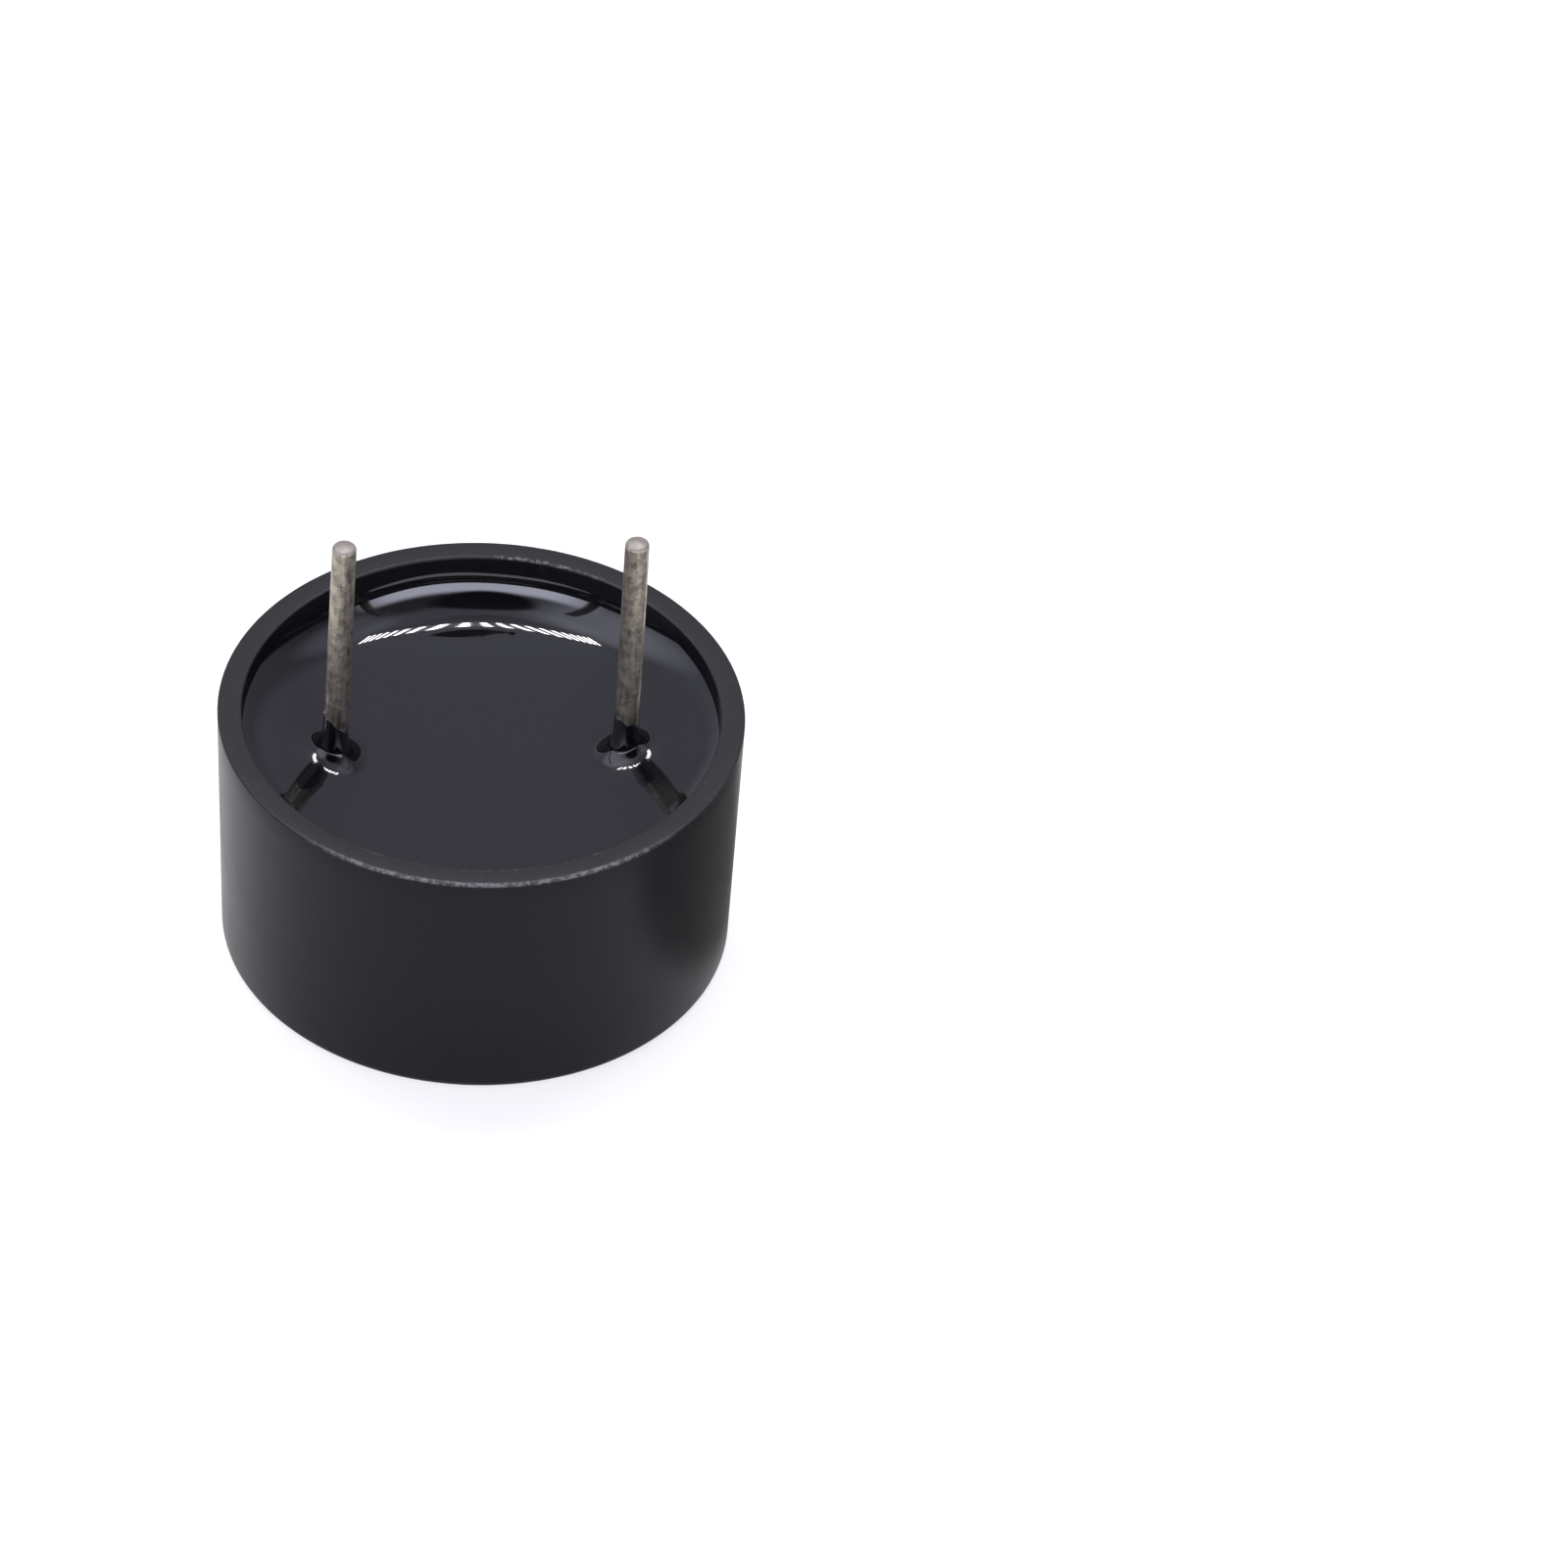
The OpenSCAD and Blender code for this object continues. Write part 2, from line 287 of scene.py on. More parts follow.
@dataclass(frozen=True)
class MouldedPlastic:
    """Black moulded plastic: grained sound face, smoother wall, rim with wear specks and burrs, a painted
    highlight on its front edges, and pale mark.
    """

    rim_z: float
    rim_r: float
    port_r: float
    black: Colour = (0.0032, 0.0032, 0.0038)
    face_black: Colour = (0.021, 0.0213, 0.0245)
    rim_grey: Colour = (0.0142, 0.0138, 0.0147)
    wear_and_highlight_grey: Colour = (0.085, 0.084, 0.084)
    mark_grey: Colour = (0.085, 0.085, 0.092)
    grain_grey: Colour = (0.07, 0.07, 0.075)
    scratch_grey: Colour = (0.014, 0.014, 0.015)
    specular: float = 0.13
    grain_depth: float = 0.012

    def material(self) -> bpy.types.Material:
        """Build the plastic, with its zones read from height and radius.

        Returns:
            The finished material.
        """
        material, g = new_graph("moulded_black_plastic")
        place = g.place()
        x, y, z = g.axes(place)
        radius = (x * x + y * y) ** 0.5
        face = z.step(0.2 * MM, 0.02 * MM)
        in_mark = z.step(0.03 * MM, 0.08 * MM) * z.step(0.25 * MM, 0.18 * MM)
        in_mark = in_mark * radius.step((self.port_r + 0.2) * MM, (self.port_r + 0.4) * MM)
        in_mark = in_mark * radius.step((self.rim_r - 0.5) * MM, (self.rim_r - 0.6) * MM)
        rim = z.step((self.rim_z - 0.05) * MM, (self.rim_z - 0.01) * MM)
        edge = radius.step((self.rim_r - 0.12) * MM, (self.rim_r - 0.03) * MM)
        edge = edge * z.step((self.rim_z - 0.1) * MM, (self.rim_z - 0.02) * MM)
        grain = g.noise(place, 0.09, 3.0, 0.6)
        cloud = g.noise(place, 1.6, 3.0, 0.55)
        speck = g.noise(place, 0.13, 2.0, 0.7)
        scuff = g.noise(g.stretched(place, (1.0, 1.0, 0.35)), 0.35, 4.0, 0.65)
        # Front mask: on the rim's front outer edge the pale grey is a painted highlight where the edge
        # catches the light, laid over real wear specks.
        front = y.step(-4.0 * MM, -5.3 * MM)
        wear = edge * (speck.step(0.42, 0.6) * 0.75 + 0.25) * front
        inner = radius.step((self.rim_r - 0.42) * MM, (self.rim_r - 0.52) * MM) * rim
        chipped = inner * speck.step(0.5, 0.6) * y.step(4.3 * MM, 4.9 * MM) * x.step(0.3 * MM, 0.9 * MM)
        wear = wear + rim * speck.step(0.66, 0.76) * 0.2 + chipped * 0.8
        # Along the rim's front inner edge the pale dotted line is partly chips and partly a painted
        # highlight.
        wear = wear + inner * speck.step(0.5, 0.64) * front * 0.3
        scratch = scuff.step(0.66, 0.8) * 0.35 * (1.0 - face)
        colour = g.blend(face * (1.0 - in_mark), self.black, self.face_black)
        colour = g.blend(rim, colour, self.rim_grey)
        colour = g.blend(in_mark, colour, self.mark_grey)
        colour = g.blend(grain.step(0.62, 0.8) * face * 0.5, colour, self.grain_grey)
        colour = g.blend(scratch, colour, self.scratch_grey)
        colour = g.blend(wear, colour, self.wear_and_highlight_grey)
        rough = 0.32 + face * 0.28 - in_mark * 0.3 + (cloud - 0.5) * 0.14 + rim * 0.06
        height = grain * (0.25 + face * 0.75 * (1.0 - in_mark)) + scuff * 0.12
        g.surface({
            "Base Color": colour,
            "Roughness": rough,
            "Specular IOR Level": self.specular,
            "Normal": g.bump(height, self.grain_depth),
        })
        return material


@dataclass(frozen=True)
class PouredResin:
    """Glossy black epoxy with faint dust and a slight unevenness in its gloss."""

    black: Colour = (0.0032, 0.0032, 0.0036)
    dust: Colour = (0.06, 0.06, 0.06)
    index: float = 1.53
    wave_depth: float = 0.004

    def material(self) -> bpy.types.Material:
        """Build the resin.

        Returns:
            The finished material.
        """
        material, g = new_graph("poured_black_resin")
        place = g.place()
        motes = g.noise(place, 0.07, 1.0, 0.5).step(0.76, 0.84)
        haze = g.noise(place, 1.3, 3.0, 0.5)
        g.surface({
            "Base Color": g.blend(motes * 0.35, self.black, self.dust),
            "Roughness": 0.028 + haze * 0.03 + motes * 0.2,
            "IOR": self.index,
            "Normal": g.bump(g.noise(place, 2.4, 1.0, 0.4), self.wave_depth),
        })
        return material


@dataclass(frozen=True)
class TinnedWire:
    """Tinned wire, tarnished in blotches, with drawn streaks and a paler cut tip."""

    tip_z: float
    resin_z: float
    bright: Colour = (0.37, 0.335, 0.268)
    tarnish_and_foot_dark: Colour = (0.082, 0.072, 0.055)
    tip: Colour = (0.155, 0.14, 0.124)
    pit_brown: Colour = (0.09, 0.08, 0.065)
    streak_depth: float = 0.006

    def material(self) -> bpy.types.Material:
        """Build the wire's surface.

        Returns:
            The finished material.
        """
        material, g = new_graph("tarnished_tinned_wire")
        place = g.place()
        _, _, z = g.axes(place)
        streak = g.noise(g.stretched(place, (1.0, 1.0, 0.1)), 0.07, 3.0, 0.6)
        blotch = g.noise(place, 0.24, 4.0, 0.65)
        pit = g.noise(place, 0.06, 2.0, 0.6)
        tip = z.step((self.tip_z - 0.14) * MM, (self.tip_z - 0.05) * MM)
        # The wire is also made darker towards its foot, over the 1.9 mm of wire above the resin.
        foot = z.step((self.resin_z + 1.9) * MM, (self.resin_z + 0.5) * MM)
        dark = blotch.step(0.36, 0.64) * 0.6 + streak.step(0.44, 0.7) * 0.4 + foot * 0.45
        colour = g.blend(dark, self.bright, self.tarnish_and_foot_dark)
        colour = g.blend(pit.step(0.62, 0.74) * 0.5, colour, self.pit_brown)
        colour = g.blend(tip * 0.85, colour, self.tip)
        g.surface({
            "Base Color": colour,
            "Metallic": 0.92 - tip * 0.45,
            "Roughness": 0.28 + blotch * 0.22 + tip * 0.15,
            "Normal": g.bump(streak * 0.5 + pit * 0.5, self.streak_depth),
        })
        return material


@dataclass(frozen=True)
class InnerFinish:
    """Finish of a sealed inner piece: two tones in clouds with a fine grain."""

    name: str
    light: Colour
    dark: Colour
    metal: float
    rough: float
    grain_mm: float = 0.12
    grain_depth: float = 0.008

    def material(self) -> bpy.types.Material:
        """Build the finish.

        Returns:
            The finished material.
        """
        material, g = new_graph(self.name)
        place = g.place()
        grain = g.noise(place, self.grain_mm, 3.0, 0.6)
        cloud = g.noise(place, self.grain_mm * 9.0, 2.0, 0.5)
        g.surface({
            "Base Color": g.blend(cloud * 0.6 + grain.step(0.45, 0.75) * 0.4, self.light, self.dark),
            "Metallic": self.metal,
            "Roughness": self.rough + (grain - 0.5) * 0.2,
            "Normal": g.bump(grain, self.grain_depth),
        })
        return material


# Mesh helpers


def ring_grid(points: np.ndarray, wrap: bool, name: str) -> bpy.types.Object:
    """Skin a grid of rings as one closed mesh.

    Row i of the grid is a closed ring. Neighbouring rings are joined by quads; with wrap the last
    ring joins the first, and otherwise both end rings are closed by a fan to their middle point.

    Args:
        points: Array of rows, columns and three coordinates, in millimetres.
        wrap: Whether the rows close on themselves.
        name: Name of the new object.

    Returns:
        The linked object, smooth shaded.
    """
    rows, cols, _ = points.shape
    index = np.arange(rows * cols).reshape(rows, cols)
    upper = np.roll(index, -1, 0) if wrap else index[1:]
    lower = index if wrap else index[:-1]
    quads = np.stack([lower, np.roll(lower, -1, 1), np.roll(upper, -1, 1), upper], -1).reshape(-1, 4)
    coords = points.reshape(-1, 3)
    fans = np.empty((0, 3), int)
    if not wrap:
        middles = np.stack([points[0].mean(0), points[-1].mean(0)])
        first = np.stack([np.full(cols, rows * cols), np.roll(index[0], -1), index[0]], -1)
        last = np.stack([np.full(cols, rows * cols + 1), index[-1], np.roll(index[-1], -1)], -1)
        fans = np.concatenate([first, last])
        coords = np.concatenate([coords, middles])
    mesh = bpy.data.meshes.new(name)
    mesh.vertices.add(len(coords))
    mesh.vertices.foreach_set("co", (coords * MM).astype(np.float32).ravel())
    corners = np.concatenate([quads.ravel(), fans.ravel()])
    sizes = np.concatenate([np.full(len(quads), 4), np.full(len(fans), 3)])
    mesh.loops.add(len(corners))
    mesh.loops.foreach_set("vertex_index", corners)
    mesh.polygons.add(len(sizes))
    mesh.polygons.foreach_set("loop_start", np.concatenate([[0], np.cumsum(sizes)[:-1]]))
    mesh.polygons.foreach_set("use_smooth", np.ones(len(sizes), bool))
    mesh.update(calc_edges=True)
    mesh.validate()
    obj = bpy.data.objects.new(name, mesh)
    bpy.context.scene.collection.objects.link(obj)
    return obj


def arc(centre: tuple[float, float], radius: float, start: float, end: float, steps: int) -> np.ndarray:
    """Points of a circle's arc: centre plus radius times the cosine and sine of the angle.

    Args:
        centre: Middle of the arc, as radius and height.
        radius: Radius of the arc.
        start: First angle, in degrees.
        end: Last angle, in degrees.
        steps: Number of steps along it.

    Returns:
        Array of points, each a radius and a height.
    """
    angle = np.radians(np.linspace(start, end, steps + 1))
    return np.stack([centre[0] + radius * np.cos(angle), centre[1] + radius * np.sin(angle)], -1)


def line(start: tuple[float, float], end: tuple[float, float], steps: int) -> np.ndarray:
    """Evenly spaced points between two points, without the two ends."""
    share = np.linspace(0.0, 1.0, steps + 1)[1:-1, None]
    return np.array(start) * (1.0 - share) + np.array(end) * share


def ripple(angle: np.ndarray, waves: tuple[int, int], seed: int) -> np.ndarray:
    """Closed irregular wave: a sum of cosines of whole frequencies with fixed random phases.

    Args:
        angle: Angles, in radians.
        waves: Lowest and highest number of waves per turn.
        seed: Seed of the phases and strengths.

    Returns:
        Wave of about unit height at each angle.
    """
    rng = np.random.default_rng(seed)
    count = np.arange(waves[0], waves[1] + 1)
    phase = rng.uniform(0.0, TURN, len(count))
    strength = rng.normal(0.0, 1.0, len(count))
    return (np.cos(angle[..., None] * count + phase) * strength).sum(-1) / math.sqrt(len(count))


def bell(angle: np.ndarray, middle_deg: float, width_deg: float) -> np.ndarray:
    """Bell curve round a turn: 1 at middle_deg, falling off over width_deg."""
    off = np.degrees(np.angle(np.exp(1j * (angle - math.radians(middle_deg)))))
    return np.exp(-((off / width_deg) ** 2))


def adopt(obj: bpy.types.Object, node: Node, material: bpy.types.Material) -> None:
    """Let a new piece stand for a CAD node and ride on the buzzer.

    Args:
        obj: The new piece.
        node: The CAD node that it stands for.
        material: Its material.
    """
    dress(obj, material)
    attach(obj, "root")
    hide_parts(node.value)
    LOG.info("%s stands for %s with %d faces", obj.name, node.value, len(obj.data.polygons))


# The buzzer's pieces


@dataclass
class Housing:
    """Moulded cup: drafted wall, rounded rim, stepped bore, port and engraved mark."""

    rim_r: float = 5.9
    height: float = 6.2
    draft: float = math.tan(math.radians(1.85))
    wall: float = 0.55
    face_t: float = 0.8
    edge: float = 0.2
    rim_edge: float = 0.06
    port_r: float = 1.25
    port_edge: float = 0.06
    ledge_z: float = 1.688
    ledge_w: float = 0.55
    mark_margin: float = 0.27
    mark_r: float = 1.425
    ring_w: float = 0.32
    cross_span: float = 1.85
    cross_w: float = 0.34
    mark_depth: float = 0.12
    groove_edge: float = 0.01
    groove_slant: float = 0.05
    worn_h: float = 0.07
    edge_w: float = 0.1
    edge_fade: float = 0.08
    fine_wear: float = 0.0025
    slow_wear: float = 0.002
    burr_round: float = 0.006
    burr_back: float = 0.03
    burr_place_deg: float = 72
    burr_width_deg: float = 14
    columns: int = 720

    def outer(self, z: float) -> float:
        """Outer radius of the drafted wall at a height."""
        return self.rim_r - (self.height - z) * self.draft

    def bore(self, z: float) -> float:
        """Inner radius of the drafted wall at a height."""
        return self.outer(z) - self.wall

    def profile(self) -> np.ndarray:
        """Closed outline of the wall and face, turned about the axis to make the cup.

        It runs up the outer wall, over the rim, down the bore, across the ledge and the front
        chamber, out through the port and back across the sound face.

        Returns:
            Array of points, each a radius and a height.
        """
        top = self.height - self.rim_edge
        chamber = self.bore(self.ledge_z) - self.ledge_w
        face_end = self.outer(self.edge) - self.edge
        port_out = self.port_r + self.port_edge
        tiny = 0.015
        pieces = [
            arc((face_end, self.edge), self.edge, -90, 0, 8),
            line((self.outer(self.edge), self.edge), (self.outer(top), top), 10),
            arc((self.outer(top) - self.rim_edge, top), self.rim_edge, 0, 90, 6),
            arc((self.bore(top) + self.rim_edge, top), self.rim_edge, 90, 180, 6),
            line((self.bore(top), top), (self.bore(self.ledge_z), self.ledge_z), 8),
            arc((self.bore(self.ledge_z) - tiny, self.ledge_z + tiny), tiny, 0, -90, 2),
            arc((chamber + tiny, self.ledge_z - tiny), tiny, 90, 180, 2),
            arc((chamber - tiny, self.face_t + tiny), tiny, 0, -90, 2),
            arc((self.port_r + tiny, self.face_t - tiny), tiny, 90, 180, 2),
            arc((port_out, self.port_edge), self.port_edge, 180, 270, 4),
            line((port_out, 0.0), (face_end, 0.0), 78),
        ]
        return np.concatenate(pieces)

    def mark_sink(self, x: np.ndarray, y: np.ndarray) -> np.ndarray:
        """Depth of the engraving at points of the sound face.

        The distance into the groove is the larger of the ring's (half its width less the distance
        from its middle circle) and each round-ended arm's (half its width less the distance from
        its middle line). The depth rises smoothly with that distance over the groove's slanted side.

        Args:
            x: Distances along X from the axis.
            y: Distances along Y from the axis.

        Returns:
            Depth at each point, from 0 to the mark's depth.
        """
        offset = self.outer(0.0) - self.edge - self.mark_margin - self.mark_r
        u, v = x - offset, y
        reach = (self.cross_span - self.cross_w) / 2
        ring = self.ring_w / 2 - np.abs(np.hypot(u, v) - (self.mark_r - self.ring_w / 2))
        along = self.cross_w / 2 - np.hypot(np.maximum(np.abs(u) - reach, 0.0), v)
        across = self.cross_w / 2 - np.hypot(u, np.maximum(np.abs(v) - reach, 0.0))
        inside = np.maximum(ring, np.maximum(along, across))
        share = np.clip((inside + self.groove_edge) / self.groove_slant, 0.0, 1.0)
        return self.mark_depth * share * share * (3.0 - 2.0 * share)

    def build(self) -> bpy.types.Object:
        """Turn the profile about the axis, sink the mark and roughen the rim's edges.

        The rim's outer edge is dulled by a small irregular wave, and its inner edge carries moulding
        burrs that are strongest on one stretch at the back.

        Returns:
            The housing piece.
        """
        outline = self.profile()
        angle = np.linspace(0.0, TURN, self.columns, endpoint=False)
        radius = np.repeat(outline[:, :1], self.columns, 1)
        height = np.repeat(outline[:, 1:], self.columns, 1)
        x, y = radius * np.cos(angle), radius * np.sin(angle)
        on_face = outline[:, 1] < 1e-6
        height[on_face] += self.mark_sink(x[on_face], y[on_face])
        near_top = np.clip((outline[:, 1] - self.height + self.worn_h) / self.worn_h, 0.0, 1.0)[:, None]
        inner_end = self.bore(self.height) + self.edge_w
        inner = np.clip((inner_end - outline[:, 0]) / self.edge_w, 0.0, 1.0)[:, None]
        wear = self.fine_wear * np.abs(ripple(angle, (40, 170), 3))
        wear = wear + self.slow_wear * np.abs(ripple(angle, (8, 30), 4))
        at_back = bell(angle, self.burr_place_deg, self.burr_width_deg)
        burr_size = self.burr_round + self.burr_back * at_back
        burr = np.maximum(ripple(angle, (60, 180), 9), 0.0) * burr_size
        outer = np.clip((outline[:, 0] - self.rim_r + self.edge_w) / self.edge_fade, 0.0, 1.0)[:, None]
        height = height - near_top * outer * wear
        radius = radius - near_top * inner * burr
        points = np.stack([radius * np.cos(angle), radius * np.sin(angle), height], -1)
        return ring_grid(points, True, "housing_shell")

    def dress(self) -> None:
        """Build the cup and put it in the housing's place."""
        finish = MouldedPlastic(self.height, self.rim_r, self.port_r)
        adopt(self.build(), Node.HOUSING, finish.material())


@dataclass
class Resin:
    """Poured resin: a dished pool that climbs the wall, with a skirt drawn up round each pin."""

    housing: Housing
    level: float = 4.7
    floor_z: float = 4.18
    contact_z: float = 5.76
    rise: float = 0.9
    tail_h: float = 0.32
    tail_l: float = 0.9
    slope: float = 80.0
    side_slope: float = 32.0
    side_lift: float = 0.55
    side_turn_deg: float = 38.0
    side_place: float = 4.8
    side_spread: float = 1.75
    side_depth: float = 4.0
    rise_wave: float = 0.015
    ridge_h: float = 0.01
    ridge_place_deg: float = 93.5
    ridge_width_deg: float = 9.0
    ridge_away: float = 1.25
    ridge_w: float = 0.35
    skirt: float = 0.5
    skirt_tail: float = 0.12
    skirt_tail_l: float = 0.45
    skirt_w: float = 1.15
    film_h: float = 0.62
    film_w: float = 0.09
    skirt_wave: float = 0.06
    skirt_root: float = 0.1
    overlap: float = 0.01
    sunk: float = 0.003
    pin_r: float = 0.275
    pin_x: float = 3.25
    middle_r: float = 0.15
    floor_r: float = 0.05
    columns: int = 360
    rings: int = 96
    ring_crowding: float = 2.4
    skirt_columns: int = 144
    skirt_rings: int = 49
    skirt_crowding: float = 2.2

    @staticmethod
    def climb(away: np.ndarray, radius: Any, slope: Any) -> np.ndarray:
        """Height of a concave quarter circle that starts at the contact slope and flattens out.

        At a distance from its upper end the slope's sine is the contact slope's sine less the
        distance over the radius, and the height is the radius times one less the slope's cosine.

        Args:
            away: Distances from the upper end.
            radius: Radius of the quarter circle.
            slope: Contact slope, in degrees.

        Returns:
            Height over the flat at each distance.
        """
        sine = np.clip(np.sin(np.radians(slope)) - away / radius, 0.0, 1.0)
        return radius * (1.0 - np.sqrt(1.0 - sine * sine))

    def pool_height(self, x: np.ndarray, y: np.ndarray) -> np.ndarray:
        """Height of the pool's surface at points inside the bore.

        It is the level, plus the climb at the wall and its exponential tail, plus a bell-shaped lift
        between each pin and the wall, where the two climbs meet and the wall's is less steep. A low
        ridge that the pour left lies at one place at the back.

        Args:
            x: Distances along X from the axis.
            y: Distances along Y from the axis.

        Returns:
            Height at each point.
        """
        angle = np.arctan2(y, x)
        away = np.maximum(self.housing.bore(self.contact_z) - np.hypot(x, y), 0.0)
        beside = np.maximum(bell(angle, 0.0, self.side_turn_deg), bell(angle, 180.0, self.side_turn_deg))
        rise = self.rise + self.rise_wave * ripple(angle, (3, 11), 21)
        climb = self.climb(away, rise, self.slope + (self.side_slope - self.slope) * beside)
        sideways = ((np.abs(x) - self.side_place) / self.side_spread) ** 2
        lift = self.side_lift * np.exp(-sideways - (y / self.side_depth) ** 2)
        ridge = self.ridge_h * bell(angle, self.ridge_place_deg, self.ridge_width_deg)
        ridge = ridge * np.exp(-(((away - self.ridge_away) / self.ridge_w) ** 2))
        return self.level + climb + self.tail_h * np.exp(-away / self.tail_l) + lift + ridge

    def pool(self) -> bpy.types.Object:
        """Make the pool as rings from the middle out, up the wall, down its side and back.

        The rings lie closer together towards the wall, where the surface steepens.

        Returns:
            The pool piece.
        """
        angle = np.linspace(0.0, TURN, self.columns, endpoint=False)
        wall = self.housing.bore(self.contact_z)
        share = np.linspace(1.0, 0.0, self.rings)[:, None]
        top_r = np.repeat(wall - (wall - self.middle_r) * share ** self.ring_crowding, self.columns, 1)
        down = np.array([self.housing.bore(self.floor_z), 0.5 * wall, self.floor_r])[:, None]
        radius = np.concatenate([top_r, np.repeat(down, self.columns, 1)])
        top = self.pool_height(top_r * np.cos(angle), top_r * np.sin(angle))
        height = np.concatenate([top, np.full((3, self.columns), self.floor_z)])
        points = np.stack([radius * np.cos(angle), radius * np.sin(angle), height], -1)
        return ring_grid(points[::-1], False, "resin_pool")

    def collar(self, side: Side) -> bpy.types.Object:
        """Make the skirt round one pin as a closed ring on the pool.

        Over the pool it stands up as a concave quarter circle with a fading tail, which a window
        takes to nothing at the foot, and close to the pin a thin film climbs higher. It ripples
        round the pin.

        Args:
            side: The pin that it stands round.

        Returns:
            The skirt piece.
        """
        angle = np.linspace(0.0, TURN, self.skirt_columns, endpoint=False)
        away = (self.skirt_w * np.linspace(0.0, 1.0, self.skirt_rings) ** self.skirt_crowding)[:, None]
        size = self.skirt * (1.0 + self.skirt_wave * ripple(angle, (1, 4), 31 + side.value))
        window = (1.0 - (away / self.skirt_w) ** 2) ** 2
        film = self.film_h * np.clip(1.0 - away / self.film_w, 0.0, 1.0) ** 2
        tail = self.skirt_tail * np.exp(-away / self.skirt_tail_l) * window
        lift = self.climb(away, size, self.slope) + tail + film
        radius = np.repeat(self.pin_r - self.overlap + away, len(angle), 1)
        x = side.value * self.pin_x + radius * np.cos(angle)
        y = radius * np.sin(angle)
        height = self.pool_height(x, y) - self.sunk + lift
        under_z = np.full((2, len(angle)), self.level - self.skirt_root)
        points = np.stack([
            np.concatenate([x, x[-1:], x[:1]]),
            np.concatenate([y, y[-1:], y[:1]]),
            np.concatenate([height, under_z]),
        ], -1)
        return ring_grid(points[::-1], True, f"resin_skirt_{side.name.lower()}")

    def dress(self) -> None:
        """Build the pool and skirts and put them in the resin's place."""
        material = PouredResin().material()
        adopt(self.pool(), Node.RESIN, material)
        for side in Side:
            adopt(self.collar(side), Node.RESIN, material)


@dataclass
class Pins:
    """Two straight tinned wires with a swaged collar in the board and a rounded cut tip."""

    radius: float = 0.275
    place_x: float = 3.25
    foot_z: float = 3.58
    collar_r: float = 0.5
    collar_z: float = 4.79
    tip_z: float = 11.1
    tip_round: float = 0.1
    resin_z: float = 4.98
    lean: float = 0.1
    crown: float = 0.03
    chamfer: float = 0.03
    dent: float = 0.006
    dent_most: float = 0.012
    dent_twist: float = 0.35
    columns: int = 64
    nodes: dict[Side, Node] = field(
        default_factory=lambda: {Side.POSITIVE: Node.PIN_POSITIVE, Side.NEGATIVE: Node.PIN_NEGATIVE}
    )

    def build(self, side: Side) -> bpy.types.Object:
        """Turn the wire's profile about its own axis, with slight dents and a crowned tip.

        The radius loses a small irregular wave round the turn whose strength drifts along the wire,
        the tip's middle is crowned by a shallow parabola, and the wire leans sideways in step with
        its height.

        Args:
            side: The pin to build.

        Returns:
            The pin piece.
        """
        angle = np.linspace(0.0, TURN, self.columns, endpoint=False)
        cut = self.chamfer
        shoulder = self.tip_z - self.crown - self.tip_round
        flat = np.linspace(self.radius - self.tip_round, 0.03, 6)[1:]
        cap = np.stack([flat, self.tip_z - self.crown * (flat / (self.radius - self.tip_round)) ** 2], -1)
        outline = np.concatenate([
            np.array([[0.1, self.foot_z], [self.collar_r - cut, self.foot_z]]),
            np.array([[self.collar_r, self.foot_z + cut], [self.collar_r, self.collar_z - cut]]),
            np.array([[self.collar_r - cut, self.collar_z], [self.radius, self.collar_z]]),
            line((self.radius, self.collar_z), (self.radius, shoulder), 90),
            arc((self.radius - self.tip_round, shoulder), self.tip_round, 0, 90, 8),
            cap,
        ])
        free = (outline[:, 1] > self.collar_z + 0.01)[:, None]
        drift = 0.5 + 0.5 * np.sin(outline[:, 1:] * 2.3 + 1.7 * side.value)
        turned = angle + self.dent_twist * outline[:, 1:]
        dent = self.dent * np.abs(ripple(turned, (2, 6), 41 + side.value)) * drift
        radius = outline[:, :1] - free * np.minimum(dent, self.dent_most)
        height = np.repeat(outline[:, 1:], self.columns, 1)
        lean = self.lean * np.maximum(outline[:, 1:] - self.resin_z, 0.0) / (self.tip_z - self.resin_z)
        x = side.value * self.place_x + radius * np.cos(angle) + lean
        points = np.stack([x, radius * np.sin(angle), height], -1)
        return ring_grid(points, False, f"wire_{side.name.lower()}")

    def dress(self) -> None:
        """Build both wires and put them in the pins' places."""
        material = TinnedWire(self.tip_z, self.resin_z).material()
        for side, node in self.nodes.items():
            adopt(self.build(side), node, material)


